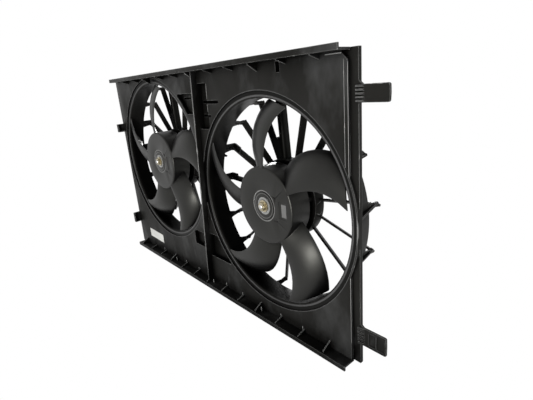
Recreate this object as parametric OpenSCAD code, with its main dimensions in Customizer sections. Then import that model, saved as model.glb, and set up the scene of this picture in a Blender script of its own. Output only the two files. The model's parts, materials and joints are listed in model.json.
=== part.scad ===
// Twin electric cooling fan module for a car radiator.
// X runs along the panel, Y points from the radiator towards the engine, Z is up.
// The origin is on the underside of the bottom flange, halfway between the two axles,
// in the plane of the panel's front face. Left and right are as seen from the front.
// All sizes are in millimetres.

/* [Ducts] */
// Inner radius of the round duct that each fan turns in
duct_r = 170; // [160:1:172]
// Width of the flat ledge round the mouth of a duct
ledge_w = 11.5; // [9:0.5:14]
// How far the ledge lies behind the front of the panel
ledge_drop = 2.8; // [2:0.2:4]
// Radius of the rounded lip between ledge and duct
lip_r = 3; // [1:0.5:5]
// Depth of a duct behind the front of the panel
duct_depth = 40; // [38:1:46]
// Width of the land left between the two ledges
duct_land = 2; // [1:0.5:10]
// Height of the left axle above the right one
axle_rise = 38; // [0:1:44]

/* [Panel] */
// Thickness of the moulded walls
wall = 3; // [2.4:0.1:3.4]
// Land between the left ledge and the left edge of the panel
left_land = 7; // [7:1:30]
// Land between the right ledge and the right edge of the panel
right_land = 1; // [1:1:20]
// Land between the right ledge and the underside of the panel
bottom_land = 26; // [22:1:40]
// Land between the left ledge and the top of the panel
top_land = 3.5; // [3.5:0.5:30]
// How far the top and bottom flanges stand forward
flange_depth = 20; // [15:1:26]
// Height of the turned lip on each flange
flange_lip = 5; // [3:0.5:8]
// Distance from a side edge of the panel to the end of a flange
flange_inset = 13; // [8:1:20]
// Width of the set-back strip along the right edge
strip_w = 12; // [10:1:20]
// How far the strip lies behind the front of the panel
strip_drop = 5; // [3:0.5:7]
// Height of the rib that stands forward between the two ducts
rib_height = 12; // [6:1:18]
// Lean of that rib from upright, in degrees
rib_lean = 4.3; // [0:0.1:6]
// Distance between the gussets on the bottom flange
gusset_pitch = 54; // [40:1:80]
// Distance between the gussets on the top flange
top_gusset_pitch = 60; // [40:1:80]
// Height of a small gusset against the panel
gusset_size = 7; // [4:0.5:10]
// Height of every third gusset against the panel
big_gusset_size = 13; // [10:0.5:18]
// Depth of the recesses beside that rib
recess_depth = 9; // [5:0.5:11]
// Height of the stiffening ribs on the back of the panel
back_rib_height = 8; // [4:1:14]

/* [Side fixings] */
// Reach of the two tabs on the right edge
tab_reach = 41; // [30:1:50]
// Height of the upper right tab
upper_tab_h = 21; // [18:1:40]
// Height of the lower right tab
lower_tab_h = 29; // [20:1:44]
// Height of the middle of the upper right tab
upper_tab_z = 378.5; // [340:0.5:400]
// Height of the middle of the lower right tab
lower_tab_z = 47.5; // [40:0.5:90]
// Forward reach of the two hooks on the left edge
hook_reach = 17; // [10:1:24]
// Height of the upper left hook
upper_hook_h = 20; // [12:1:32]
// Height of the lower left hook
lower_hook_h = 26; // [12:1:36]
// Height of the middle of the upper left hook
upper_hook_z = 316; // [280:1:360]
// Height of the middle of the lower left hook
lower_hook_z = 72; // [50:1:120]

/* [Stator] */
// Outer radius of the ring that carries a motor
ring_r = 68; // [66:0.5:72]
// Distance of that ring's front from the front of the panel
ring_front = 48; // [47:0.5:52]
// Depth of that ring
ring_depth = 20; // [16:1:24]
// Thickness of a vane
vane_t = 3.6; // [2.4:0.1:4]
// Chord of a vane from front to back
vane_chord = 11.5; // [9:0.5:12]
// Slant of a vane against the axle, in degrees
vane_slant = 29.5; // [20:0.5:35]
// How far the legs of the vanes stand out from the duct at their foot
leg_reach = 9; // [7:0.5:9.5]
// Slant of those legs against the axle, in degrees
leg_slant = 10; // [0:1:14]
// Width of the one hollow-nosed vane over each motor
channel_w = 13; // [10:0.5:16]

/* [Fan] */
// Running gap between the blade tips and the duct
tip_gap = 3; // [2.5:0.5:8]
// Outer radius of the hub
hub_r = 65; // [60:0.5:66]
// Depth of the hub from its face to its open rim
hub_depth = 40; // [36:0.5:42]
// How far the hub face stands in front of the panel
hub_proud = 2; // [0:0.5:6]
// Wall thickness of the hub
hub_wall = 2.8; // [2:0.1:3.5]
// Radius of the rounded edge of the hub face
hub_round = 3; // [1:0.5:5]
// Arc length of a blade at its root
root_chord = 44; // [38:1:52]
// Arc length of a blade at its tip
tip_chord = 72; // [50:1:80]
// Extra arc length of a blade halfway along it
chord_bulge = 4; // [0:0.5:12]
// How far the front edge of a blade curves ahead from root to tip, in degrees
blade_sweep = 17.5; // [4:0.5:24]
// How far the front edge of a blade at its root lies in front of the panel
blade_proud = 1.2; // [0:0.2:1.4]
// How far the front edge of a blade recedes from root to tip
blade_recede = 4.2; // [0:0.2:8]
// Depth of a blade along the axle at its root
root_pitch = 26; // [20:1:32]
// Depth of a blade along the axle at its tip
tip_pitch = 30; // [20:1:33]
// How much shallower a blade is halfway along it
pitch_dip = 6.8; // [0:0.2:8]
// Height of the arch of a blade's section at its tip
blade_arch = 7.8; // [2:0.2:9]
// Greatest thickness of a blade
blade_t = 3; // [2.4:0.1:4]
// Radius of the rounded corners of a blade tip
tip_round = 2; // [1:0.5:8]

/* [Motor] */
// Radius of the steel motor can
can_r = 44; // [42:0.5:45]
// Wall thickness of the can
can_wall = 2; // [1.6:0.1:2.4]
// Length of the can in front of its flange
can_length = 40; // [38:0.5:41]
// Thickness of the can's flange
flange_t = 2; // [1.6:0.1:3]
// Radius of the circle of the three motor screws
screw_circle_r = 57; // [56:0.5:57.5]
// Radius of the motor screw's shank
screw_r = 2.4; // [2:0.1:2.6]
// Length of a motor screw under its head
screw_length = 14; // [12:0.5:15]
// Depth of the plastic end cap behind the flange
cap_depth = 20; // [19:0.5:26]
// Radius of the motor shaft
shaft_r = 4; // [3:0.5:5]
// Radial running clearance of the shaft in its bushings
shaft_clearance = 0.03; // [0.02:0.01:0.08]
// Length of each bushing
bushing_length = 9; // [7:0.5:10]
// Wall thickness of each bushing
bushing_wall = 4; // [2.5:0.5:4]
// Radial air gap between the armature and the magnets
air_gap = 1; // [0.6:0.1:1.4]
// Thickness of the two arc magnets
magnet_t = 9; // [6:0.5:10]
// Length of the armature core
core_length = 22; // [18:1:22]
// Number of slots in the armature
slot_count = 10; // [8:1:14]
// Radius of the commutator
commutator_r = 11; // [9:0.5:12]
// Radius of the washer under the hub nut
washer_r = 10; // [8:0.5:12]
// Thickness of that washer
washer_t = 1.6; // [1:0.1:2.5]
// Width across the flats of the hub nut
nut_flats = 13; // [11:1:15]
// Height of the hub nut
nut_h = 5; // [4:0.5:6.5]

/* [Label] */
// Width of the blank paper label
label_w = 74; // [50:1:80]
// Height of the label
label_h = 22; // [16:1:26]

/* [Hidden] */
$fn = 96;

left = -1;
right = 1;
moulded = [0.13, 0.13, 0.14];
steel = [0.62, 0.62, 0.60];
zinc = [0.74, 0.70, 0.55];
bronze = [0.62, 0.47, 0.26];
copper = [0.72, 0.40, 0.22];
ferrite = [0.22, 0.22, 0.24];
paper = [0.92, 0.92, 0.88];
resin = [0.30, 0.22, 0.14];
carbon = [0.16, 0.16, 0.16];

// Small distance by which cutting shapes run past a face
past = 1;

// Panel, worked out from the ducts and the lands round them
recess_r = duct_r + ledge_w;
axle_distance = 2 * recess_r + duct_land;
axle_pitch = sqrt(axle_distance * axle_distance - axle_rise * axle_rise);
right_axle_z = bottom_land + recess_r;
left_axle_z = right_axle_z + axle_rise;
panel_h = left_axle_z + recess_r + top_land;
panel_left = -axle_pitch / 2 - recess_r - left_land;
panel_right = axle_pitch / 2 + recess_r + right_land;
step_x = panel_right - strip_w;
collar_r = recess_r + wall;
barrel_r = duct_r + wall;
mid_z = (left_axle_z + right_axle_z) / 2;

// Stations along the axle, measured from the front of the panel
hub_front = -hub_proud;
hub_rear = hub_front + hub_depth;
flange_y = ring_front + wall + 1;
can_front = flange_y - can_length;
cap_front = flange_y + flange_t;
cap_rear = cap_front + cap_depth;
pocket_lip = 2;
bushing_r = shaft_r + bushing_wall;
front_bushing_y = can_front - pocket_lip;
can_boss_front = can_front - pocket_lip - 1;
hub_boss_end = can_boss_front - 1;
rear_bushing_end = cap_rear - wall;
core_front = can_front + 11;
core_rear = core_front + core_length;
winding_reach = 4.5;
commutator_front = core_rear + winding_reach + 1.5;
commutator_rear = rear_bushing_end - bushing_length - 1;
core_r = can_r - can_wall - magnet_t - air_gap;

// Vane directions round each axle, in degrees from +X, unevenly spaced to keep the fan quiet
vane_angles = [6.5, 31, 54, 75.3, 112.1, 133.9, 154.9, 176.6, 200.6, 219.7, 240, 260.8, 289.5, 317.9, 341.7];
channel_angle = 93.3;
clip_angles = [154.9, 176.6];
vane_front = ring_front + 9.5;
vane_from_r = ring_r - wall / 2;
vane_to_r = barrel_r;
screw_angles = [10, 130, 250];

// Directions of the front edges of the blade roots, unevenly spaced and different on each fan
right_blade_angles = [25, 86, 162.5, 240.5, 301];
left_blade_angles = [12, 91, 162.5, 240.5, 301];
fan_r = duct_r - tip_gap;

function axle_x(side) = side * axle_pitch / 2;
function axle_z(side) = side > 0 ? right_axle_z : left_axle_z;

// Carries its children to an axle of the module
module on_axle(side) {
    translate([axle_x(side), 0, axle_z(side)]) children();
}

// Round disc along Y between two stations
module disc(radius, from_y, to_y) {
    translate([0, from_y, 0]) rotate([-90, 0, 0]) cylinder(r = radius, h = to_y - from_y);
}

// Round tube along Y between two stations
module ring(outer, inner, from_y, to_y) {
    difference() {
        disc(outer, from_y, to_y);
        disc(inner, from_y - past, to_y + past);
    }
}

// Solid turned about the axle from a profile of [radius, station] points
module turned(points) {
    rotate([-90, 0, 0]) rotate_extrude() polygon(points);
}

// Turns its children to a direction round the axle, as seen from the front
module facing(angle) {
    rotate([0, -angle, 0]) children();
}

// Box from its lowest to its highest corner
module block(low, high) {
    translate(low) cube([high[0] - low[0], high[1] - low[1], high[2] - low[2]]);
}

/* Shroud */

// Front wall of the panel with the set-back strip along its right edge and one cut corner
module front_wall() {
    corner = 10;
    difference() {
        union() {
            block([panel_left, 0, 0], [step_x, wall, panel_h]);
            block([step_x - wall, 0, 0], [step_x, strip_drop + wall, panel_h]);
        }
        rotate([90, 0, 0]) translate([0, 0, -strip_drop])
            linear_extrude(height = strip_drop + past)
                polygon([
                    [step_x - corner, panel_h - wall], [step_x + past, panel_h - wall],
                    [step_x + past, panel_h - wall - corner - past]
                ]);
    }
    block([step_x - corner - wall, strip_drop, panel_h - corner - 2 * wall],
          [step_x, strip_drop + wall, panel_h]);
    block([step_x - wall, strip_drop, 0], [panel_right, strip_drop + wall, panel_h]);
}

// Collar that carries the ledge, and the barrel behind it
module duct_walls() {
    disc(collar_r, 0, ledge_drop + wall);
    disc(barrel_r, ledge_drop, duct_depth);
}

// Everything that is cut away for the air to pass a duct
module duct_cut() {
    mouth = duct_r + lip_r;
    turned([
        [0, -past],
        [recess_r, -past],
        [recess_r, ledge_drop],
        [mouth, ledge_drop],
        for (a = [90 : -15 : 0])
            [mouth - lip_r * cos(a), ledge_drop + lip_r - lip_r * sin(a)],
        [duct_r, duct_depth + past],
        [0, duct_depth + past]
    ]);
}

// Turned flange along the top or the bottom of the panel
module long_flange(face_z, upward) {
    from_z = upward ? face_z - wall : face_z;
    lip_from = upward ? from_z : face_z - flange_lip;
    lip_to = upward ? face_z + flange_lip : face_z + wall;
    left_end = panel_left + flange_inset;
    right_end = step_x + wall - 1;
    block([left_end, -flange_depth, from_z], [right_end, wall, from_z + wall]);
    block([left_end, -flange_depth, lip_from], [right_end, wall - flange_depth, lip_to]);
}

// Triangular gusset in the corner of a flange and the panel, out to the flange's lip
module gusset(size, upward) {
    tip = upward ? -size : size;
    reach = flange_depth - wall + 0.5;
    width = 0.7 * wall;
    rotate([90, 0, 90])
        linear_extrude(height = width, center = true)
            polygon([[0.5, 0], [-reach, 0], [-reach, tip * 0.2], [0.5, tip]]);
}

// Offset of each row's middle gusset from the origin
top_gusset_shift = 9;
gusset_shift = -12;

// Row of gussets along one flange, with every third one larger
module gusset_row(inner_z, upward, pitch, shift) {
    count = floor((step_x - pitch / 2) / pitch);
    for (i = [-count : count])
        translate([i * pitch + shift, 0, inner_z])
            gusset(i % 3 == 0 ? big_gusset_size : gusset_size, upward);
}

// Rib that stands forward between the two ducts, down to the floor of the recesses beside it
module middle_rib() {
    rib_x = 4;
    rear = recess_depth + 1;
    intersection() {
        translate([rib_x, 0, mid_z]) rotate([0, rib_lean, 0])
            block([-wall / 2, -rib_height, -panel_h], [wall / 2, rear, panel_h]);
        block([panel_left, -rib_height, 0], [panel_right, rear, panel_h]);
    }
}

// Recesses beside the rib and the deeper slots across them: [lowest x and z, highest x and z, depth]
slot_depth = recess_depth + 4;
recesses = [
    [[6, mid_z + 99.5], [45, panel_h - 24], recess_depth],
    [[-62, panel_h - 78], [18, panel_h - 40], recess_depth],
    [[-8, 62], [62, 112], recess_depth],
    [[-67, 73], [-2, 106], recess_depth],
    [[12, panel_h - 59.5], [79, panel_h - 54], slot_depth],
    [[10, panel_h - 83.5], [52, panel_h - 79], slot_depth],
    [[-50, panel_h - 51], [14, panel_h - 47], slot_depth],
    [[229, panel_h - 19], [237, panel_h - 5], recess_depth]
];

// Walls that stand behind the front of the panel round a recess
module recess_shell(low, high, depth) {
    block([low[0] - wall, 0, low[1] - wall], [high[0] + wall, depth + wall, high[1] + wall]);
}

module recess_cut(low, high, depth) {
    block([low[0], -past, low[1]], [high[0], depth, high[1]]);
}

// Panel with its recesses, before the ducts pass through it
module panel() {
    difference() {
        union() {
            front_wall();
            back_ribs();
            for (p = recesses)
                recess_shell(p[0], p[1], p[2]);
        }
        for (p = recesses)
            recess_cut(p[0], p[1], p[2]);
    }
}

// Tab that reaches out from the strip, with teeth over the strip's edge and framed windows
module side_tab(height, slots, windows) {
    rear = strip_drop + wall;
    front = strip_drop - 1.5;
    corner = 3;
    half = height / 2;
    frame = 4.5;
    root = 11;
    slot_w = 2.2;
    difference() {
        union() {
            rotate([90, 0, 0]) translate([0, 0, -rear])
                linear_extrude(height = wall)
                    polygon([
                        [-wall, -half], [0, -half], [tab_reach - corner, -half],
                        for (a = [-60 : 30 : 60])
                            [tab_reach - corner + corner * cos(a),
                             sign(a) * (half - corner) + corner * sin(a)],
                        [tab_reach - corner, half], [root / 2, half],
                        [0, half + frame], [-wall, half + frame]
                    ]);
            translate([-wall - 1, 0, -half + 1])
                linear_extrude(height = height - 2)
                    polygon([[0, rear - 1], [0, front], [root - 2, front], [root + wall + 1, rear - 1]]);
        }
        for (i = [1 : slots])
            translate([0, 0, -half + i * height / (slots + 1)])
                block([-wall - 2, front - past, -slot_w / 2], [root, strip_drop, slot_w / 2]);
        for (x = windows)
            block([x[0], strip_drop - past, -half + frame], [x[1], strip_drop + 1.2, half - frame]);
    }
}

// Hook that reaches forward from the left edge
module side_hook(height) {
    block([panel_left, -hook_reach, -height / 2], [panel_left + wall, wall, height / 2]);
    block([panel_left, -hook_reach, -height / 2], [panel_left + 2.5 * wall, wall - hook_reach, height / 2]);
    translate([panel_left, 0, -height / 2])
        linear_extrude(height = wall)
            polygon([[0, -hook_reach], [0, wall], [2.5 * wall, wall], [2.5 * wall, -hook_reach]]);
}

// Shape in the plane across a radius, carried along that radius
module along_radius(from_r, to_r) {
    translate([from_r, 0, 0])
        rotate([90, 0, 90])
            linear_extrude(height = to_r - from_r) children();
}

// One slanted vane between the motor ring and the duct, with a rounded front edge
module vane() {
    half = vane_t / 2;
    along_radius(vane_from_r, vane_to_r)
        translate([vane_front + half, 0])
            rotate(-vane_slant) {
                circle(r = half, $fn = 24);
                translate([0, -half]) square([vane_chord - half, vane_t]);
            }
}

// Leg that ties a vane's outer end forward to the panel, outside the duct
module vane_leg() {
    inner = barrel_r - 1;
    turn_r = barrel_r - 4.5;
    root_y = ledge_drop + 1.5;
    along_radius(turn_r, vane_to_r + 0.4)
        polygon([
            [vane_front - 6, -3], [vane_front - 6, 1],
            [vane_front + 4, 3], [vane_front + 7, -3], [vane_front + 5, -5]
        ]);
    translate([0, vane_front, 0])
        rotate([leg_slant, 0, 0])
            translate([0, -vane_front, 0])
                linear_extrude(height = vane_t, center = true)
                    polygon([
                        [inner, root_y],
                        [barrel_r + leg_reach, root_y],
                        [barrel_r + 2, vane_front - 5],
                        [barrel_r + 0.8, vane_front + 3],
                        [turn_r + 0.5, vane_front + 3],
                        [turn_r + 0.5, vane_front - 6],
                        [inner, duct_depth - 2]
                    ]);
}

// Distance that the webs behind the duct keep from both faces of its wall
web_skin = 0.8;

// Web that carries the duct's wall back to a vane, as wide as given on either side of it
module root_web(below, above) {
    along_radius(duct_r + web_skin, barrel_r - web_skin)
        polygon([
            [duct_depth - 1.5, -below], [duct_depth - 1.5, above],
            [duct_depth + 3, above - 2], [vane_front + 3, vane_t / 2],
            [vane_front + 3, -vane_t / 2], [duct_depth + 3, 2 - below]
        ]);
}

// Broad hollow-nosed vane that shields the motor lead's way out
module channel_vane() {
    half = channel_w / 2;
    nose = ring_front + 2 + half;
    skin = 2;
    along_radius(vane_from_r, vane_to_r)
        difference() {
            union() {
                translate([nose, 0]) circle(r = half, $fn = 48);
                translate([nose, -half]) square([half + skin, channel_w]);
            }
            translate([nose, 0]) circle(r = half - skin, $fn = 48);
            translate([nose, skin - half]) square([channel_w, channel_w - 2 * skin]);
        }
}

// Web between the channel vane and its neighbour, next to the ring
module lead_web() {
    front = vane_front + 1;
    reach = 38;
    facing(channel_angle + 9.5)
        rotate([90, 0, 0]) translate([0, 0, -front - wall])
            linear_extrude(height = wall)
                polygon([
                    [vane_from_r, -10], [vane_from_r + reach, -15],
                    [vane_from_r + reach, 15], [vane_from_r, 10]
                ]);
}

// Clip beside the outer end of a vane that the motor lead is tied to
module lead_clip() {
    inner = barrel_r - 25;
    width = 13;
    front = vane_front + 1;
    hole_r = 2.2;
    block([duct_r + web_skin, duct_depth - 1.5, 1 - width], [barrel_r - web_skin, front + wall, 0]);
    difference() {
        rotate([90, 0, 0]) translate([0, 0, -front - wall])
            linear_extrude(height = wall)
                polygon([
                    [inner, 0], [inner + 3, -width], [vane_to_r - 4, -width],
                    [vane_to_r - 1, -width + 4], [vane_to_r - 1, 0]
                ]);
        translate([inner + 9, 0, -width + 4.5]) disc(hole_r, front - past, front + wall + past);
    }
}

// Ring that a motor is screwed to, with its three screw bosses
module motor_ring() {
    rear = ring_front + ring_depth;
    boss_reach = 7;
    difference() {
        union() {
            ring(ring_r, can_r + 2, ring_front, ring_front + wall + 1);
            ring(ring_r, ring_r - wall, ring_front, rear);
            for (a = screw_angles)
                facing(a) translate([screw_circle_r, 0, 0])
                    disc(2 * screw_r + 1, ring_front - boss_reach, ring_front + 1);
        }
        for (a = screw_angles)
            facing(a) translate([screw_circle_r, 0, 0]) disc(screw_r, ring_front - boss_reach - past, rear);
    }
}

module stator() {
    for (a = vane_angles)
        facing(a) {
            vane();
            vane_leg();
            root_web(8, 8);
        }
    facing(channel_angle) {
        channel_vane();
        for (z = [-1, 1])
            translate([0, 0, z * (channel_w - vane_t) / 2]) vane_leg();
    }
    lead_web();
    for (a = clip_angles)
        facing(a) lead_clip();
    motor_ring();
}

// Ribs on the back of the panel along its side edges and across its corners
module back_ribs() {
    rear = wall + back_rib_height;
    length = 88;
    edge_gap = 16;
    for (z = [edge_gap, panel_h - edge_gap - wall])
        for (x = [panel_left + 8, -length / 2 - 4, step_x - length])
            block([x, wall - 0.5, z], [x + length, rear, z + wall]);
    block([panel_left, wall - 0.5, 0], [panel_left + wall, rear, panel_h]);
    block([panel_right - wall, strip_drop + 0.5, 0], [panel_right, rear, panel_h]);
}

module shroud() {
    color(moulded) {
        difference() {
            union() {
                panel();
                for (side = [left, right])
                    on_axle(side) duct_walls();
            }
            block([panel_right, -past, -past], [panel_right + wall + collar_r, duct_depth, panel_h + past]);
            for (side = [left, right])
                on_axle(side) duct_cut();
        }
        middle_rib();
        long_flange(panel_h, true);
        long_flange(0, false);
        gusset_row(panel_h - wall, true, top_gusset_pitch, top_gusset_shift);
        gusset_row(wall, false, gusset_pitch, gusset_shift);
        translate([panel_right, 0, upper_tab_z]) side_tab(upper_tab_h, 4, []);
        translate([panel_right, 0, lower_tab_z]) side_tab(lower_tab_h, 4, [[13.5, 24], [26, 38]]);
        translate([0, 0, upper_hook_z]) side_hook(upper_hook_h);
        translate([0, 0, lower_hook_z]) side_hook(lower_hook_h);
        for (side = [left, right])
            on_axle(side) stator();
    }
}

module blank_label() {
    low_x = panel_left + 58;
    low_z = 28;
    tilt = 2;
    thickness = 0.3;
    color(paper)
        translate([low_x, -thickness, low_z])
            rotate([0, tilt, 0]) block([0, 0, 0], [label_w, thickness, label_h]);
}

/* Fan */

// Share of the way from root to tip
function along(r) = (r - hub_r) / (fan_r - hub_r);
function chord(r) =
    root_chord + (tip_chord - root_chord) * along(r) + 4 * chord_bulge * along(r) * (1 - along(r));
function lead(r) = r < hub_r ? 0 : -blade_sweep * pow(along(r), 2);
function front_station(r) = blade_recede * along(r) - blade_proud;
function pitch(r) =
    root_pitch + (tip_pitch - root_pitch) * along(r) - 4 * pitch_dip * along(r) * (1 - along(r));
function arch(r) = blade_arch * (0.5 + 0.5 * along(r));
function root_flare(r) = 1 + 0.8 * exp(-max(r - hub_r, 0) / 4);

// How much a rounded tip corner takes off each end of the chord
function corner(r) =
    r <= fan_r - tip_round ? 0
    : tip_round - sqrt(max(tip_round * tip_round - pow(r - fan_r + tip_round, 2), 0));

// Point of the camber line at share s of the chord: [arc length, station]
function camber(r, s) = [
    corner(r) + s * (chord(r) - 2 * corner(r)),
    front_station(r) + pitch(r) * s - 4 * arch(r) * s * (1 - s)
];
function half_thickness(r, s) =
    root_flare(r) * blade_t * (1 - 0.25 * along(r)) * (0.14 + 0.36 * pow(sin(180 * s), 0.6));

// Point of the blade's surface, on its front (face 1) or its rear (face -1)
function blade_point(r, s, face) =
    let (here = camber(r, s))
    let (ahead = camber(r, s + 0.01))
    let (run = ahead - here)
    let (normal = [-run[1], run[0]] / norm(run))
    let (spot = here - face * half_thickness(r, s) * normal)
    let (angle = lead(r) + spot[0] / r * 180 / PI)
    [r * cos(angle), spot[1], r * sin(angle)];

chord_steps = 11;
blade_radii = concat(
    [hub_r - hub_wall * 0.6, hub_r + 1.5, hub_r + 4],
    [for (i = [1 : 9]) hub_r + 4 + (fan_r - tip_round - hub_r - 4) * i / 9],
    [for (a = [40, 90]) fan_r - tip_round + tip_round * sin(a) * 0.999]
);

// One swept blade: front points then rear points of every station
module blade() {
    row = 2 * chord_steps;
    last = len(blade_radii) - 1;
    front = [for (i = [0 : chord_steps - 1]) i / (chord_steps - 1)];
    points = [
        for (r = blade_radii) each concat(
            [for (s = front) blade_point(r, s, 1)],
            [for (i = [chord_steps - 1 : -1 : 0]) blade_point(r, front[i], -1)]
        )
    ];
    skin = [
        for (k = [0 : last - 1]) for (i = [0 : row - 1])
            let (a = k * row + i)
            let (b = k * row + (i + 1) % row)
            each [[a, b, b + row], [a, b + row, a + row]]
    ];
    ends = [
        for (k = [0, last]) for (i = [0 : chord_steps - 2])
            let (a = k * row + i)
            let (b = a + 1)
            let (d = k * row + row - 1 - i)
            let (c = d - 1)
            each (k == 0 ? [[a, d, c], [a, c, b]] : [[a, c, d], [a, b, c]])
    ];
    polyhedron(points = points, faces = concat(skin, ends), convexity = 4);
}

// Ribs inside the hub cup: radial ones behind the face, short ones along the wall
module hub_ribs() {
    count = 10;
    half = 1;
    height = 4;
    reach = 7;
    for (i = [0 : count - 1])
        facing(i * 360 / count) {
            block([shaft_r + 3, hub_front + 1, -half], [hub_r - 1, hub_front + hub_wall + height, half]);
            block([hub_r - hub_wall - reach, hub_front + 1, -half], [hub_r - 1, hub_rear - height, half]);
        }
}

module impeller(blade_angles) {
    color(moulded)
        difference() {
            union() {
                turned([
                    [0, hub_front],
                    [hub_r - hub_round, hub_front],
                    for (a = [75 : -15 : 0])
                        [hub_r - hub_round + hub_round * cos(a), hub_front + hub_round - hub_round * sin(a)],
                    [hub_r, hub_rear],
                    [hub_r - hub_wall, hub_rear],
                    [hub_r - hub_wall, hub_front + hub_wall],
                    [2 * shaft_r + 3, hub_front + hub_wall],
                    [2 * shaft_r + 2, hub_boss_end],
                    [0, hub_boss_end]
                ]);
                hub_ribs();
                for (a = blade_angles)
                    facing(a) blade();
            }
            disc(shaft_r, hub_front - past, hub_rear);
            hub_marks();
        }
}

// What is sunk into the hub face: a round groove, a plain panel and two small marks
module hub_marks() {
    groove_r = 25;
    groove_w = 1.6;
    mark_r = 1.5;
    panel_x = 36;
    panel_wide = 17;
    panel_tall = 28;
    deep = hub_front + 0.8;
    shallow = hub_front + 0.5;
    ring(groove_r, groove_r - groove_w, hub_front - past, deep);
    block([panel_x, hub_front - past, -panel_tall / 2 - 1],
          [panel_x + panel_wide, shallow, panel_tall / 2 - 1]);
    for (spot = [[30, 33], [-34, 37]])
        facing(spot[0]) translate([spot[1], 0, 0]) disc(mark_r, hub_front - past, deep);
}

/* Hub fasteners and shaft */

module hub_washer() {
    color(zinc) ring(washer_r, shaft_r, hub_front - washer_t, hub_front);
}

module hub_nut() {
    rear = hub_front - washer_t;
    color(zinc)
        difference() {
            intersection() {
                translate([0, rear - nut_h, 0]) rotate([-90, 0, 0])
                    cylinder(r = nut_flats / 2 / cos(30), h = nut_h, $fn = 6);
                turned([
                    [0, rear - nut_h], [nut_flats / 2, rear - nut_h],
                    [nut_flats / 2 + 2, rear - nut_h + 1.2], [nut_flats / 2 + 2, rear], [0, rear]
                ]);
            }
            disc(shaft_r, rear - nut_h - past, rear + past);
        }
}

module motor_shaft() {
    front = hub_front - washer_t - nut_h - 2;
    chamfer = 0.8;
    color(steel)
        turned([
            [0, front], [shaft_r - chamfer, front], [shaft_r, front + chamfer],
            [shaft_r, rear_bushing_end - chamfer], [shaft_r - chamfer, rear_bushing_end - 0.3],
            [0, rear_bushing_end - 0.3]
        ]);
}

/* Motor */

module armature_core() {
    slot_w = PI * core_r / slot_count;
    mouth_w = 3;
    tooth_lip = 3;
    color(steel)
        difference() {
            disc(core_r, core_front, core_rear);
            disc(shaft_r, core_front - past, core_rear + past);
            for (i = [0 : slot_count - 1])
                facing(i * 360 / slot_count) {
                    block([core_r * 0.5, core_front - past, -slot_w / 2],
                          [core_r - tooth_lip, core_rear + past, slot_w / 2]);
                    block([core_r - tooth_lip - past, core_front - past, -mouth_w / 2],
                          [core_r + past, core_rear + past, mouth_w / 2]);
                }
        }
}

module armature_winding() {
    slot_w = PI * core_r / slot_count - 1;
    inner = core_r * 0.5 + 0.5;
    color(copper) {
        for (i = [0 : slot_count - 1])
            facing(i * 360 / slot_count)
                block([inner, core_front - 1, -slot_w / 2], [core_r - 3.5, core_rear + 1, slot_w / 2]);
        for (y = [core_front - winding_reach, core_rear])
            ring(core_r - 4, inner - 2, y, y + winding_reach);
    }
}

module commutator() {
    color(copper)
        difference() {
            ring(commutator_r, shaft_r, commutator_front, commutator_rear);
            for (i = [0 : slot_count - 1])
                facing(i * 360 / slot_count)
                    block([commutator_r - 1, commutator_front - past, -0.4],
                          [commutator_r + 1, commutator_rear + past, 0.4]);
        }
}

module bushing(from_y) {
    color(bronze) ring(bushing_r, shaft_r + shaft_clearance, from_y, from_y + bushing_length);
}

// Cup with a bushing pocket in its closed front and a flange with three ears at its mouth
module motor_can() {
    ear_r = 8;
    edge = 3;
    color(steel)
        difference() {
            union() {
                turned([
                    [0, can_front], [can_r - edge, can_front], [can_r, can_front + edge],
                    [can_r, flange_y + flange_t], [0, flange_y + flange_t]
                ]);
                disc(bushing_r + can_wall, can_boss_front, can_front + 1);
                disc(can_r + 4, flange_y, flange_y + flange_t);
                for (a = screw_angles)
                    facing(a) {
                        translate([screw_circle_r, 0, 0]) disc(ear_r, flange_y, flange_y + flange_t);
                        block([can_r + 2, flange_y, -ear_r], [screw_circle_r, flange_y + flange_t, ear_r]);
                    }
            }
            difference() {
                disc(can_r - can_wall, can_front + can_wall, cap_front + past);
                disc(bushing_r + can_wall, can_front, front_bushing_y + bushing_length);
            }
            disc(bushing_r, front_bushing_y, cap_front);
            disc(shaft_r + 0.6, can_boss_front - past, cap_front);
            for (a = screw_angles)
                facing(a) translate([screw_circle_r, 0, 0])
                    disc(screw_r + 0.3, flange_y - past, cap_front + past);
        }
}

// Two arc magnets against the inside of the can
module magnets() {
    outer = can_r - can_wall;
    half_gap = 7;
    color(ferrite)
        difference() {
            ring(outer, outer - magnet_t, core_front - 2, core_rear + 2);
            block([-can_r, can_front, -half_gap], [can_r, cap_rear, half_gap]);
        }
}

brush_w = 6;
brush_angles = [45, 135, 225, 315];
card_y = cap_front + 0.5;
card_t = 2;
brush_y = card_y + card_t;
cap_inner_r = can_r - wall;

// Insulating card with four brush boxes, seated in the end cap
module brush_card() {
    box_wall = 1.2;
    box_end = commutator_r + 20;
    color(resin)
        difference() {
            union() {
                ring(cap_inner_r, commutator_r + 3, card_y, brush_y);
                for (a = brush_angles)
                    facing(a)
                        block([commutator_r + 4, brush_y - 1, -brush_w / 2 - box_wall],
                              [box_end, brush_y + brush_w + box_wall, brush_w / 2 + box_wall]);
            }
            for (a = brush_angles)
                facing(a)
                    block([commutator_r, brush_y, -brush_w / 2],
                          [box_end + past, brush_y + brush_w, brush_w / 2]);
        }
}

module brushes() {
    color(carbon)
        for (a = brush_angles)
            facing(a)
                block([commutator_r + 0.3, brush_y, -brush_w / 2],
                      [commutator_r + 16, brush_y + brush_w, brush_w / 2]);
}

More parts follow.
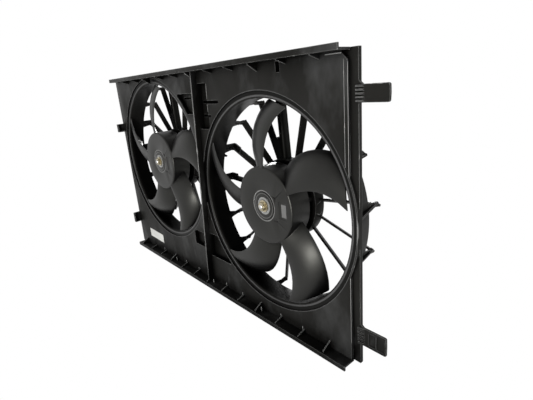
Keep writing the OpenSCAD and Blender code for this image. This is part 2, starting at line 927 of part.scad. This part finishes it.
// Plastic cap that closes the motor, with the rear bushing's pocket and a two-pin inlet
module motor_end_cap() {
    inlet_w = 24;
    inlet_h = 16;
    inlet_x = -20;
    inlet_depth = 12;
    inlet_wall = 2;
    edge = 3;
    pin_w = 3;
    pin_t = 0.8;
    color(moulded)
        difference() {
            union() {
                turned([
                    [0, cap_front], [can_r, cap_front], [can_r, cap_rear - edge],
                    [can_r - edge, cap_rear], [0, cap_rear]
                ]);
                block([inlet_x - inlet_w / 2, cap_rear - 1, -inlet_h / 2],
                      [inlet_x + inlet_w / 2, cap_rear + inlet_depth, inlet_h / 2]);
            }
            difference() {
                disc(cap_inner_r, cap_front - past, cap_rear - wall);
                disc(bushing_r + 2.5, rear_bushing_end - bushing_length, cap_rear);
            }
            disc(bushing_r, cap_front, rear_bushing_end);
            block([inlet_x - inlet_w / 2 + inlet_wall, cap_rear, -inlet_h / 2 + inlet_wall],
                  [inlet_x + inlet_w / 2 - inlet_wall, cap_rear + inlet_depth + past,
                   inlet_h / 2 - inlet_wall]);
        }
    for (x = [-5, 5])
        color(steel)
            block([inlet_x + x - pin_w / 2, cap_rear - 1, -pin_t / 2],
                  [inlet_x + x + pin_w / 2, cap_rear + inlet_depth - 4, pin_t / 2]);
}

module motor_screws() {
    head_r = 2 * screw_r;
    color(zinc)
        for (a = screw_angles)
            facing(a) translate([screw_circle_r, 0, 0]) {
                disc(screw_r, cap_front - screw_length, cap_front);
                translate([0, cap_front, 0]) rotate([-90, 0, 0])
                    cylinder(r = head_r, h = screw_r * 1.5, $fn = 6);
            }
}

/* Pieces of each side */

module left_fan() { on_axle(left) impeller(left_blade_angles); }
module right_fan() { on_axle(right) impeller(right_blade_angles); }
module left_hub_washer() { on_axle(left) hub_washer(); }
module right_hub_washer() { on_axle(right) hub_washer(); }
module left_hub_nut() { on_axle(left) hub_nut(); }
module right_hub_nut() { on_axle(right) hub_nut(); }
module left_motor_shaft() { on_axle(left) motor_shaft(); }
module right_motor_shaft() { on_axle(right) motor_shaft(); }
module left_armature_core() { on_axle(left) armature_core(); }
module right_armature_core() { on_axle(right) armature_core(); }
module left_armature_winding() { on_axle(left) armature_winding(); }
module right_armature_winding() { on_axle(right) armature_winding(); }
module left_commutator() { on_axle(left) commutator(); }
module right_commutator() { on_axle(right) commutator(); }
module left_front_bushing() { on_axle(left) bushing(front_bushing_y); }
module right_front_bushing() { on_axle(right) bushing(front_bushing_y); }
module left_rear_bushing() { on_axle(left) bushing(rear_bushing_end - bushing_length); }
module right_rear_bushing() { on_axle(right) bushing(rear_bushing_end - bushing_length); }
module left_motor_can() { on_axle(left) motor_can(); }
module right_motor_can() { on_axle(right) motor_can(); }
module left_magnets() { on_axle(left) magnets(); }
module right_magnets() { on_axle(right) magnets(); }
module left_brush_card() { on_axle(left) brush_card(); }
module right_brush_card() { on_axle(right) brush_card(); }
module left_brushes() { on_axle(left) brushes(); }
module right_brushes() { on_axle(right) brushes(); }
module left_motor_end_cap() { on_axle(left) motor_end_cap(); }
module right_motor_end_cap() { on_axle(right) motor_end_cap(); }
module left_motor_screws() { on_axle(left) motor_screws(); }
module right_motor_screws() { on_axle(right) motor_screws(); }

shroud();
blank_label();
left_fan();
right_fan();
left_hub_washer();
right_hub_washer();
left_hub_nut();
right_hub_nut();
left_motor_shaft();
right_motor_shaft();
left_armature_core();
right_armature_core();
left_armature_winding();
right_armature_winding();
left_commutator();
right_commutator();
left_front_bushing();
right_front_bushing();
left_rear_bushing();
right_rear_bushing();
left_motor_can();
right_motor_can();
left_magnets();
right_magnets();
left_brush_card();
right_brush_card();
left_brushes();
right_brushes();
left_motor_end_cap();
right_motor_end_cap();
left_motor_screws();
right_motor_screws();
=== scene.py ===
# Twin radiator fan module in a plain studio, seen from the photograph's place
import json
import math

import bmesh
import bpy
from mathutils import Matrix, Vector


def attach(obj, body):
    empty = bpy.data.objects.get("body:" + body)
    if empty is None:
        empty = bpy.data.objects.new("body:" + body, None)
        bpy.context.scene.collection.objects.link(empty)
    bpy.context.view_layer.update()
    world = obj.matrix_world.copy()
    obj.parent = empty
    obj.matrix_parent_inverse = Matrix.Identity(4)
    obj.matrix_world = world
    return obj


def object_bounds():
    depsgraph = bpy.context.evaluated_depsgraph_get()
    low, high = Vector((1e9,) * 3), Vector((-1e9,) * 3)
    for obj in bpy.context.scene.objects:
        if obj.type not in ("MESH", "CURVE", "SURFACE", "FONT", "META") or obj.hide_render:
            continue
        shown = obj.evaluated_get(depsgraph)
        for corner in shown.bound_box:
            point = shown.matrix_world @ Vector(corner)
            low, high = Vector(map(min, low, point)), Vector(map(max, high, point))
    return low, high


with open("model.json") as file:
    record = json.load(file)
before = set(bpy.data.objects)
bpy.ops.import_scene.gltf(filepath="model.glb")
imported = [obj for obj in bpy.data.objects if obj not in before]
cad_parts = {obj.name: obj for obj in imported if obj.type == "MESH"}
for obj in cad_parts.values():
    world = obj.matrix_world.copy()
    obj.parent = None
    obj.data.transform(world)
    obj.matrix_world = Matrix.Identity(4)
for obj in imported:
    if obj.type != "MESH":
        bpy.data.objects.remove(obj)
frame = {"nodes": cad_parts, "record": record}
cad_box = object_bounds()
nodes = frame["nodes"]
scene = bpy.context.scene

# Camera, solved from the photograph. Lengths are in metres throughout.
FOCAL_PX, IMAGE_W = 382.979, 533
SENSOR_MM = 36
RIGHT = Vector((0.6553084, 0.7513565, -0.0776806))
UP = Vector((-0.1719650, 0.2485346, 0.9532359))
AHEAD = Vector((-0.7355263, 0.6113051, -0.2920738))
CAMERA_AT = (0.642175, -0.378307, 0.398719)
camera_data = bpy.data.cameras.new("camera")
camera_data.sensor_fit = "HORIZONTAL"
camera_data.sensor_width = SENSOR_MM
camera_data.lens = FOCAL_PX / IMAGE_W * SENSOR_MM
camera_data.clip_start, camera_data.clip_end = 0.01, 50
camera = bpy.data.objects.new("camera", camera_data)
turn = Matrix((RIGHT, UP, -AHEAD)).transposed().to_4x4()
camera.matrix_world = Matrix.Translation(CAMERA_AT) @ turn
scene.collection.objects.link(camera)
scene.camera = camera

# Sockets of a colour Mix node, whose names other types share
MIX_A, MIX_B, MIX_OUT = 6, 7, 2
OCCLUSION_SAMPLES = 8
BAND_BORDER = 0.0004


class Nodes:
    """Short way to build a node tree."""

    def __init__(self, tree):
        self.tree = tree

    def add(self, kind, **values):
        node = self.tree.nodes.new(kind)
        for key, value in values.items():
            if key.startswith("in_"):
                node.inputs[key[3:].replace("_", " ")].default_value = value
            else:
                setattr(node, key, value)
        return node

    def link(self, out, into):
        self.tree.links.new(out, into)


def ramp(n, fac, stops):
    """Colour ramp from stops of a place and a grey or a colour."""
    node = n.add("ShaderNodeValToRGB")
    n.link(fac, node.inputs["Fac"])
    while len(node.color_ramp.elements) < len(stops):
        node.color_ramp.elements.new(0.5)
    for element, (place, value) in zip(node.color_ramp.elements, stops):
        element.position = place
        colour = tuple(value) if hasattr(value, "__len__") else (value, value, value)
        element.color = colour + (1,)
    return node.outputs["Color"]


def noise(n, coords, scale, detail, rough, stretch=None, lean=0.0):
    """Noise over coords, which stretch and lean scale and turn about Y first."""
    if stretch:
        m = n.add("ShaderNodeMapping")
        m.inputs["Scale"].default_value = stretch
        m.inputs["Rotation"].default_value = (0, lean, 0)
        n.link(coords, m.inputs["Vector"])
        coords = m.outputs["Vector"]
    node = n.add("ShaderNodeTexNoise", in_Scale=scale, in_Detail=detail, in_Roughness=rough)
    n.link(coords, node.inputs["Vector"])
    return node.outputs["Fac"]


def multiply(n, a, b):
    node = n.add("ShaderNodeMix", data_type="RGBA", blend_type="MULTIPLY")
    node.inputs[0].default_value = 1.0
    n.link(a, node.inputs[MIX_A])
    n.link(b, node.inputs[MIX_B])
    return node.outputs[MIX_OUT]


def blend(n, mask, a, colour):
    """a where mask is 0, the plain colour where it is 1."""
    node = n.add("ShaderNodeMix", data_type="RGBA", blend_type="MIX")
    n.link(mask, node.inputs[0])
    n.link(a, node.inputs[MIX_A])
    node.inputs[MIX_B].default_value = tuple(colour) + (1,)
    return node.outputs[MIX_OUT]


def occlusion(n, distance, inside, stops):
    node = n.add("ShaderNodeAmbientOcclusion", samples=OCCLUSION_SAMPLES,
                 inside=inside, only_local=inside)
    node.inputs["Distance"].default_value = distance
    return ramp(n, node.outputs["AO"], stops)


def map_range(n, value, start, end, to_start=0.0, to_end=1.0):
    """to_start where value is start, to_end where it is end, straight between."""
    node = n.add("ShaderNodeMapRange", clamp=True)
    node.inputs["From Min"].default_value = start
    node.inputs["From Max"].default_value = end
    node.inputs["To Min"].default_value = to_start
    node.inputs["To Max"].default_value = to_end
    n.link(value, node.inputs["Value"])
    return node.outputs["Result"]


def band(n, value, low, high):
    """1 where value lies between low and high, with a soft border."""
    middle, half = (low + high) / 2, (high - low) / 2
    off = n.add("ShaderNodeMath", operation="SUBTRACT")
    off.inputs[1].default_value = middle
    n.link(value, off.inputs[0])
    size = n.add("ShaderNodeMath", operation="ABSOLUTE")
    n.link(off.outputs[0], size.inputs[0])
    return map_range(n, size.outputs[0], half, half + BAND_BORDER, 1.0, 0.0)


def around(n, at, axle):
    """Place of a point from an axle, and its distance from it."""
    from_axle = n.add("ShaderNodeVectorMath", operation="SUBTRACT")
    from_axle.inputs[1].default_value = (axle[0], 0, axle[1])
    n.link(at, from_axle.inputs[0])
    parts = n.add("ShaderNodeSeparateXYZ")
    n.link(from_axle.outputs[0], parts.inputs[0])
    flat = n.add("ShaderNodeCombineXYZ")
    n.link(parts.outputs["X"], flat.inputs["X"])
    n.link(parts.outputs["Z"], flat.inputs["Z"])
    radius = n.add("ShaderNodeVectorMath", operation="LENGTH")
    n.link(flat.outputs[0], radius.inputs[0])
    return parts, radius.outputs["Value"]


# Rings round the nut: inner and outer radius, grey. The two thin ones are painted highlights on
# ring edges of the hub face, the wide one is the washer's own grey
HUB_RINGS_AND_HIGHLIGHTS = ((0.0248, 0.0262, 0.16), (0.0205, 0.0212, 0.08), (0.0, 0.0145, 0.2))
RING_WARMTH = 0.97
HUB_FACE_Y = (-0.004, 0.0)
# Rubbed plate beside the nut, from the axle
PLATE_X, PLATE_Z = (0.0415, 0.0515), (-0.011, 0.0095)
PLATE_COLOUR = (0.11, 0.11, 0.108)


def hub_marks_and_highlights(n, at, axle, plate, colour):
    """Rings round the nut, the thin ones painted highlights and the wide one the washer's grey,
    and, on one fan, a rubbed plate on the hub face.
    """
    parts, radius = around(n, at, axle)
    front = band(n, parts.outputs["Y"], *HUB_FACE_Y)
    for low, high, tone in HUB_RINGS_AND_HIGHLIGHTS:
        mask = multiply(n, band(n, radius, low, high), front)
        colour = blend(n, mask, colour, (tone, tone, tone * RING_WARMTH))
    if plate:
        mask = multiply(n, band(n, parts.outputs["X"], *PLATE_X),
                        band(n, parts.outputs["Z"], *PLATE_Z))
        colour = blend(n, multiply(n, mask, front), colour, PLATE_COLOUR)
    return colour


# Rings on the duct's ledge, a dark painted shadow between two light painted highlights: inner and
# outer radius, grey
LEDGE_SHADOW_AND_HIGHLIGHT_RINGS = ((0.1815, 0.1825, 0.045), (0.1759, 0.1815, 0.0008), (0.1726, 0.1748, 0.06))
LEDGE_Y = (-0.001, 0.0035)


def ledge_shadow_and_highlight_rings(n, at, axle, colour):
    """Painted shadow in the corner of the duct's ledge, between two painted highlight lines."""
    parts, radius = around(n, at, axle)
    front = band(n, parts.outputs["Y"], *LEDGE_Y)
    for low, high, tone in LEDGE_SHADOW_AND_HIGHLIGHT_RINGS:
        mask = multiply(n, band(n, radius, low, high), front)
        colour = blend(n, mask, colour, (tone, tone, tone))
    return colour


# Inside wall of the duct, and where its painted shade starts and is full: along Y, and in Z from
# the axle
WALL_RADII = (0.1685, 0.1712)
DUCT_SHADE_Y, DUCT_SHADE_Z = (0.004, 0.014), (0.09, -0.09)
DUCT_SHADE_STOPS = [(0.0, 1.0), (0.5, 0.25), (1.0, 0.17)]


def duct_painted_shade(n, at, axle):
    """Painted shade, darker towards the bottom of the duct's inside wall, 1 elsewhere."""
    parts, radius = around(n, at, axle)
    mask = band(n, radius, *WALL_RADII)
    for value, reach in ((parts.outputs["Y"], DUCT_SHADE_Y), (parts.outputs["Z"], DUCT_SHADE_Z)):
        mask = multiply(n, mask, map_range(n, value, *reach))
    return ramp(n, mask, DUCT_SHADE_STOPS)


HAZE_CLOUDS = dict(scale=12.0, detail=4.0, rough=0.6, stretch=(1.1, 1.0, 0.6), lean=0.7)
HAZE_STOPS = [(0.5, 0.0), (0.7, 1.0)]
PANEL_FRONT_Y = (-0.03, 0.002)


def hazed(n, at, colour, haze):
    """Slanted clouds of haze, on the panel's front only."""
    patches = noise(n, at, **HAZE_CLOUDS)
    parts = n.add("ShaderNodeSeparateXYZ")
    n.link(at, parts.inputs[0])
    mask = multiply(n, ramp(n, patches, HAZE_STOPS), band(n, parts.outputs["Y"], *PANEL_FRONT_Y))
    return blend(n, mask, colour, haze)


SCUFF_MARKS = dict(scale=34.0, detail=6.0, rough=0.7, stretch=(1.0, 1.0, 0.35))
SCUFF_STOPS = [(0.6, 0.0), (0.74, 1.0)]


def scuffed(n, at, colour, scuff):
    """Upright scuff marks here and there."""
    marks = noise(n, at, **SCUFF_MARKS)
    return blend(n, ramp(n, marks, SCUFF_STOPS), colour, scuff)


# Edge mask for rub wear and a painted highlight; the specks on it are partly wear and partly
# painted glints
EDGE_WEAR_AND_HIGHLIGHT_STOPS = [(0.5, 1.0), (0.8, 0.0)]
SPECK_AND_GLINT_NOISE = dict(scale=60.0, detail=3.0, rough=0.6)
SPECK_AND_GLINT_STOPS = [(0.6, 0.0), (0.68, 1.0)]
SPECK_AND_GLINT_GAIN = 2.5


def worn_and_highlit_edges(n, at, colour, edge_wear_and_highlight, reach):
    """Edges lightened by rubbing and by a painted highlight, with brighter wear specks and painted
    glints on them.
    """
    worn_and_highlit = occlusion(n, reach, True, EDGE_WEAR_AND_HIGHLIGHT_STOPS)
    colour = blend(n, worn_and_highlit, colour, edge_wear_and_highlight)
    specks_and_glints = ramp(n, noise(n, at, **SPECK_AND_GLINT_NOISE), SPECK_AND_GLINT_STOPS)
    return blend(n, multiply(n, worn_and_highlit, specks_and_glints), colour, [SPECK_AND_GLINT_GAIN * v for v in edge_wear_and_highlight])


CORNER_STOPS = [(0.3, 0.5), (0.85, 1.0)]
DEEP_REACH, DEEP_STOPS = 0.12, [(0.35, 0.13), (0.92, 1.0)]
# How much of the shade is left out, by a face's normal along Y
REAR_STOPS = [(0.5, 0.0), (0.9, 0.85)]


def cavity_shade(n, at, cavity, ducts):
    """Shade in corners, deep places and ducts. Faces that look to the rear keep little of it."""
    shade = multiply(n, occlusion(n, cavity, False, CORNER_STOPS),
                     occlusion(n, DEEP_REACH, False, DEEP_STOPS))
    # Painted shade towards the bottom of each duct's inside wall
    for duct in ducts:
        shade = multiply(n, shade, duct_painted_shade(n, at, duct))
    facing = n.add("ShaderNodeSeparateXYZ")
    n.link(n.add("ShaderNodeNewGeometry").outputs["Normal"], facing.inputs[0])
    return blend(n, ramp(n, facing.outputs["Y"], REAR_STOPS), shade, (1, 1, 1))


GLOSS_TINT = (1.0, 0.99, 0.9, 1.0)
# Where the mottle turns from the dark to the light colour
DARK_AT, LIGHT_AT = 0.32, 0.7
# The roughness clouds are finer than the mottle, and run from smooth to rough
CLOUDS_TO_MOTTLE = 2.3
SMOOTH_AT, ROUGH_AT = 0.3, 0.7


def surface(name, dark, light, rough, grain=900.0, bump=0.00006, metallic=0.0, mottle=7.0,
            scuff=None, specular=0.5, brushed=None, haze=None, edge_wear_and_highlight=None, reach=0.0016,
            cavity=None, axle=None, plate=False, ducts=()):
    """Grained material: two colours mottled, roughness and bump from noise, scuffs, worn edges
    with a painted highlight.
    """
    m = bpy.data.materials.new(name)
    m.use_nodes = True
    n = Nodes(m.node_tree)
    shader = m.node_tree.nodes["Principled BSDF"]
    shader.inputs["Metallic"].default_value = metallic
    shader.inputs["Specular IOR Level"].default_value = specular
    if not metallic:
        shader.inputs["Specular Tint"].default_value = GLOSS_TINT
    at = n.add("ShaderNodeTexCoord").outputs["Object"]
    broad = noise(n, at, scale=mottle, detail=4.0, rough=0.6)
    colour = ramp(n, broad, [(DARK_AT, dark), (LIGHT_AT, light)])
    if haze:
        colour = hazed(n, at, colour, haze)
    if scuff:
        colour = scuffed(n, at, colour, scuff)
    # Hub marks, with painted highlight rings round the nut
    if axle:
        colour = hub_marks_and_highlights(n, at, axle, plate, colour)
    # Painted shadow and painted highlight rings on each duct's ledge
    for duct in ducts:
        colour = ledge_shadow_and_highlight_rings(n, at, duct, colour)
    # Edges lightened by wear and by a painted highlight
    if edge_wear_and_highlight:
        colour = worn_and_highlit_edges(n, at, colour, edge_wear_and_highlight, reach)
    if cavity:
        shade = cavity_shade(n, at, cavity, ducts)
        colour = multiply(n, colour, shade)
        gloss = n.add("ShaderNodeMath", operation="MULTIPLY")
        gloss.inputs[1].default_value = specular
        n.link(shade, gloss.inputs[0])
        n.link(gloss.outputs[0], shader.inputs["Specular IOR Level"])
    n.link(colour, shader.inputs["Base Color"])
    fine = noise(n, at, scale=grain, detail=2.0, rough=0.5, stretch=brushed)
    cloud = noise(n, at, scale=mottle * CLOUDS_TO_MOTTLE, detail=5.0, rough=0.6)
    n.link(map_range(n, cloud, SMOOTH_AT, ROUGH_AT, *rough), shader.inputs["Roughness"])
    height = n.add("ShaderNodeBump", in_Strength=1.0)
    height.inputs["Distance"].default_value = bump
    n.link(fine, height.inputs["Height"])
    n.link(height.outputs["Normal"], shader.inputs["Normal"])
    return m


# Each axle's x and z by side
JOINTS = frame["record"]["behaviour"]["joints"]
AXLES = {joint["name"].split("_")[0]: (joint["pos_m"][0], joint["pos_m"][2]) for joint in JOINTS}
BLACK, GREY = (0.004, 0.0039, 0.0036), (0.0095, 0.0092, 0.0085)
LOOKS = {
    "shroud_plastic": dict(dark=BLACK, light=GREY, rough=(0.32, 0.5), bump=0.00002,
                           scuff=(0.03, 0.03, 0.03), haze=(0.036, 0.0363, 0.036),
                           specular=0.1, edge_wear_and_highlight=(0.2, 0.2, 0.195), cavity=0.005,
                           ducts=list(AXLES.values())),
    "cap_plastic": dict(dark=BLACK, light=GREY, rough=(0.45, 0.6), specular=0.1, cavity=0.005),
    "can_steel": dict(dark=(0.01, 0.01, 0.01), light=(0.024, 0.024, 0.024), rough=(0.3, 0.45),
                      bump=0.00003, specular=0.25, cavity=0.005),
    "label_paper": dict(dark=(0.52, 0.52, 0.49), light=(0.62, 0.62, 0.59), rough=(0.5, 0.65),
                        grain=1500.0, bump=0.00002, mottle=30.0),
    "zinc_plate": dict(dark=(0.3, 0.26, 0.17), light=(0.52, 0.47, 0.35), rough=(0.3, 0.46),
                       metallic=1.0, mottle=120.0, bump=0.00002),
    "shaft_steel": dict(dark=(0.45, 0.45, 0.45), light=(0.62, 0.62, 0.62), rough=(0.2, 0.34),
                        metallic=1.0, brushed=(1.0, 0.1, 1.0), mottle=90.0, bump=0.00001),
    "lamination_steel": dict(dark=(0.28, 0.28, 0.3), light=(0.42, 0.42, 0.44),
                             rough=(0.35, 0.5), metallic=1.0, brushed=(0.1, 1.0, 0.1),
                             mottle=60.0, bump=0.00004),
    "copper_wire": dict(dark=(0.42, 0.15, 0.06), light=(0.62, 0.27, 0.12), rough=(0.25, 0.4),
                        metallic=1.0, brushed=(1.0, 0.12, 1.0), mottle=90.0, bump=0.0002),
    "copper_bars": dict(dark=(0.6, 0.3, 0.18), light=(0.76, 0.44, 0.3), rough=(0.2, 0.35),
                        metallic=1.0, brushed=(1.0, 0.1, 1.0), mottle=90.0, bump=0.00002),
    "bronze": dict(dark=(0.38, 0.26, 0.12), light=(0.55, 0.4, 0.2), rough=(0.35, 0.5),
                   metallic=1.0, mottle=150.0, grain=1800.0, bump=0.00004),
    "ferrite": dict(dark=(0.05, 0.05, 0.055), light=(0.09, 0.09, 0.095), rough=(0.5, 0.7),
                    mottle=60.0, bump=0.00008),
    "card_resin": dict(dark=(0.16, 0.09, 0.04), light=(0.27, 0.17, 0.09), rough=(0.4, 0.6),
                       mottle=80.0, brushed=(1.0, 1.0, 0.2), bump=0.00004),
    "carbon": dict(dark=(0.03, 0.03, 0.03), light=(0.06, 0.06, 0.06), rough=(0.45, 0.6),
                   mottle=120.0, bump=0.00004),
}
MATERIALS = {name: surface(name, **look) for name, look in LOOKS.items()}
# Each fan has a material of its own, for the rings round its own axle
for side, axle in AXLES.items():
    MATERIALS[side + "_fan"] = surface(
        side + "_fan_plastic", dark=(0.0025, 0.0025, 0.0026), light=(0.006, 0.006, 0.0063),
        rough=(0.34, 0.44), bump=0.00001, specular=0.33, reach=0.0008, edge_wear_and_highlight=(0.04, 0.04, 0.04),
        cavity=0.005, axle=axle, plate=side == "right")
for part in frame["record"]["subparts"]:
    o = nodes[part["node"]]
    o.data.materials.clear()
    o.data.materials.append(MATERIALS.get(part["node"]) or MATERIALS[part["material_slot"]])


def smooth_group(angle):
    """Geometry nodes that shade smooth, with edges steeper than angle left sharp."""
    group = bpy.data.node_groups.new("smooth_by_angle", "GeometryNodeTree")
    group.interface.new_socket("Geometry", in_out="INPUT", socket_type="NodeSocketGeometry")
    group.interface.new_socket("Geometry", in_out="OUTPUT", socket_type="NodeSocketGeometry")
    n = Nodes(group)
    start = n.add("NodeGroupInput")
    end = n.add("NodeGroupOutput")
    drop = n.add("GeometryNodeRemoveAttribute")
    drop.inputs["Name"].default_value = "custom_normal"
    faces = n.add("GeometryNodeSetShadeSmooth", domain="FACE")
    edges = n.add("GeometryNodeSetShadeSmooth", domain="EDGE")
    steep = n.add("FunctionNodeCompare", data_type="FLOAT", operation="LESS_THAN")
    steep.inputs[1].default_value = angle
    edge_angle = n.add("GeometryNodeInputMeshEdgeAngle")
    n.link(edge_angle.outputs["Unsigned Angle"], steep.inputs[0])
    n.link(start.outputs[0], drop.inputs["Geometry"])
    n.link(drop.outputs["Geometry"], faces.inputs["Geometry"])
    n.link(faces.outputs["Geometry"], edges.inputs["Geometry"])
    n.link(steep.outputs["Result"], edges.inputs["Shade Smooth"])
    n.link(edges.outputs["Geometry"], end.inputs[0])
    return group


SHARP_ANGLE = math.radians(32)
SMOOTH = smooth_group(SHARP_ANGLE)
WELD_DISTANCE = 0.000002
BEVELS = {"shroud": 0.0005, "left_fan": 0.0004, "right_fan": 0.0004,
          "left_hub_nut": 0.0003, "right_hub_nut": 0.0003}
BEVEL_SEGMENTS = 2


def soften(name, o):
    """Joins the doubled corners of the mesh, rounds its sharp edges and shades it by angle."""
    weld = o.modifiers.new("weld", "WELD")
    weld.merge_threshold = WELD_DISTANCE
    if name in BEVELS:
        bevel = o.modifiers.new("bevel", "BEVEL")
        bevel.width = BEVELS[name]
        bevel.segments = BEVEL_SEGMENTS
        bevel.limit_method = "ANGLE"
        bevel.angle_limit = SHARP_ANGLE
        bevel.use_clamp_overlap = False
    shade = o.modifiers.new("smooth", "NODES")
    shade.node_group = SMOOTH


for name, o in nodes.items():
    soften(name, o)

# Thin beads moulded on the panel's front and the rib's edge: from, to and half width
BEADS = [
    ((0.3465, 0, 0.419), (0.3463, 0, 0.288), 0.0004),
    ((0.3522, 0, 0.416), (0.3518, 0, 0.276), 0.0005),
    ((0.3518, 0, 0.136), (0.3518, 0, 0.03), 0.0005),
    ((0.3185, 0, 0.4255), (0.344, 0, 0.4255), 0.001),
    ((0.0189, -0.0119, 0.424), (-0.0122, -0.0119, 0.012), 0.0005),
    ((0.0198, 0, 0.4286), (0.0186, 0, 0.4078), 0.0005),
    ((0.0474, 0, 0.4054), (0.0458, 0, 0.3787), 0.0005),
    ((0.0445, 0, 0.3700), (0.0442, 0, 0.3569), 0.0005),
]
# Short upright nibs by the gussets of the bottom flange: x and y
NIBS = [(-0.2395, 0), (-0.16, -0.008), (-0.128, 0), (-0.0708, 0), (0.0035, -0.0095),
        (0.0372, 0), (0.093, -0.001), (0.1588, -0.009), (0.2013, 0), (0.2537, 0)]
NIB_FOOT, NIB_TOP, NIB_HALF = 0.002, 0.0125, 0.0012
BEADS += [((x, y, NIB_FOOT), (x, y, NIB_TOP), NIB_HALF) for x, y in NIBS]
# Share of a bead's length and its share of full width there, drawn in at both ends
BEAD_ROWS = ((0.0, 0.2), (0.01, 0.8), (0.03, 1.0), (0.97, 1.0), (0.99, 0.8), (1.0, 0.2))
BEAD_STEPS = 8
BEAD_SINK = 0.0002


def beads():
    """Half-round beads with drawn-in ends, as one mesh that rides on the housing."""
    mesh = bmesh.new()
    count = BEAD_STEPS + 1
    for start, end, half in BEADS:
        start, along = Vector(start), Vector(end) - Vector(start)
        across = along.normalized().cross(Vector((0, 1, 0)))
        rows = []
        for share, full in BEAD_ROWS:
            row = []
            for step in range(count):
                a = math.pi * step / BEAD_STEPS
                outward = Vector((0, BEAD_SINK - half * full * math.sin(a), 0))
                push = across * (half * full * math.cos(a)) + outward
                row.append(mesh.verts.new(start + along * share + push))
            rows.append(row)
        for one, two in zip(rows, rows[1:]):
            for i in range(count):
                j = (i + 1) % count
                mesh.faces.new((one[i], one[j], two[j], two[i]))
        mesh.faces.new(rows[0])
        mesh.faces.new(list(reversed(rows[-1])))
    bmesh.ops.recalc_face_normals(mesh, faces=mesh.faces)
    data = bpy.data.meshes.new("panel_beads")
    mesh.to_mesh(data)
    mesh.free()
    piece = bpy.data.objects.new("panel_beads", data)
    scene.collection.objects.link(piece)
    data.materials.append(MATERIALS["shroud_plastic"])
    for face in data.polygons:
        face.use_smooth = True
    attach(piece, "housing")


beads()

WHITE = (1, 1, 1, 1)
FLOOR_SIZE, FLOOR_GAP = 12, 0.0005
FLOOR_COLOUR, FLOOR_GLOW = (0.75, 0.75, 0.75, 1), 0.2
DIM_BACKDROP = 0.015


def backdrop_rays(n):
    """1 for the rays that show the backdrop: from the camera, in gloss and through glass."""
    path = n.add("ShaderNodeLightPath")
    seen = path.outputs["Is Camera Ray"]
    for kind in ("Is Glossy Ray", "Is Transmission Ray"):
        either = n.add("ShaderNodeMath", operation="MAXIMUM")
        n.link(seen, either.inputs[0])
        n.link(path.outputs[kind], either.inputs[1])
        seen = either.outputs[0]
    return seen


def with_backdrop(n, plain, white):
    """The white shader for the rays that show the backdrop, the plain one for the rest."""
    mix = n.add("ShaderNodeMixShader")
    n.link(backdrop_rays(n), mix.inputs[0])
    n.link(plain, mix.inputs[1])
    n.link(white, mix.inputs[2])
    return mix.outputs[0]


# Floor just under the flanges, white like the backdrop where the camera sees it
bpy.ops.mesh.primitive_plane_add(size=FLOOR_SIZE, location=(0, 0, cad_box[0].z - FLOOR_GAP))
floor = bpy.context.object
floor.name = "floor"
pale = bpy.data.materials.new("floor_white")
pale.use_nodes = True
n = Nodes(pale.node_tree)
pale.node_tree.nodes.remove(pale.node_tree.nodes["Principled BSDF"])
diffuse = n.add("ShaderNodeBsdfDiffuse", in_Color=FLOOR_COLOUR)
white = n.add("ShaderNodeEmission", in_Color=WHITE)
glow = n.add("ShaderNodeEmission", in_Strength=FLOOR_GLOW)
both = n.add("ShaderNodeAddShader")
n.link(diffuse.outputs[0], both.inputs[0])
n.link(glow.outputs[0], both.inputs[1])
n.link(with_backdrop(n, both.outputs[0], white.outputs[0]),
       pale.node_tree.nodes["Material Output"].inputs["Surface"])
floor.data.materials.append(pale)

# Backdrop: white to the camera, in gloss and through glass, dim to everything else
world = bpy.data.worlds.new("studio")
scene.world = world
world.use_nodes = True
n = Nodes(world.node_tree)
world.node_tree.nodes.clear()
dim = n.add("ShaderNodeBackground", in_Color=WHITE, in_Strength=DIM_BACKDROP)
bright = n.add("ShaderNodeBackground", in_Color=WHITE, in_Strength=1.0)
out = n.add("ShaderNodeOutputWorld")
n.link(with_backdrop(n, dim.outputs[0], bright.outputs[0]), out.inputs["Surface"])


def softbox(name, at, aim, size, power):
    data = bpy.data.lights.new(name, "AREA")
    data.shape = "RECTANGLE"
    data.size, data.size_y = size
    data.energy = power
    light = bpy.data.objects.new(name, data)
    light.location = at
    light.rotation_mode = "QUATERNION"
    light.rotation_quaternion = (Vector(aim) - Vector(at)).to_track_quat("-Z", "Y")
    scene.collection.objects.link(light)


# Lamps: name, place, aim, width and height, watts
MIDDLE = (0.05, 0, 0.2)
LAMPS = [
    ("top", (0.1, -0.3, 1.9), MIDDLE, (1.2, 0.9), 3),
    ("front", (1.35, -2.75, 0.2), MIDDLE, (0.8, 0.8), 125),
    ("low_right", (1.3, -1.4, 0.05), (0.2, 0, 0.03), (0.9, 0.4), 18),
    ("back_right", (2.2, 2.0, 0.2), MIDDLE, (1.0, 0.6), 1.5),
    ("back_left", (-1.7, 2.2, 0.3), MIDDLE, (1.0, 0.5), 50),
    ("left", (-2.2, -0.8, 1.4), MIDDLE, (1.6, 1.6), 2),
]
for lamp in LAMPS:
    softbox(*lamp)

scene.view_settings.view_transform = "Standard"
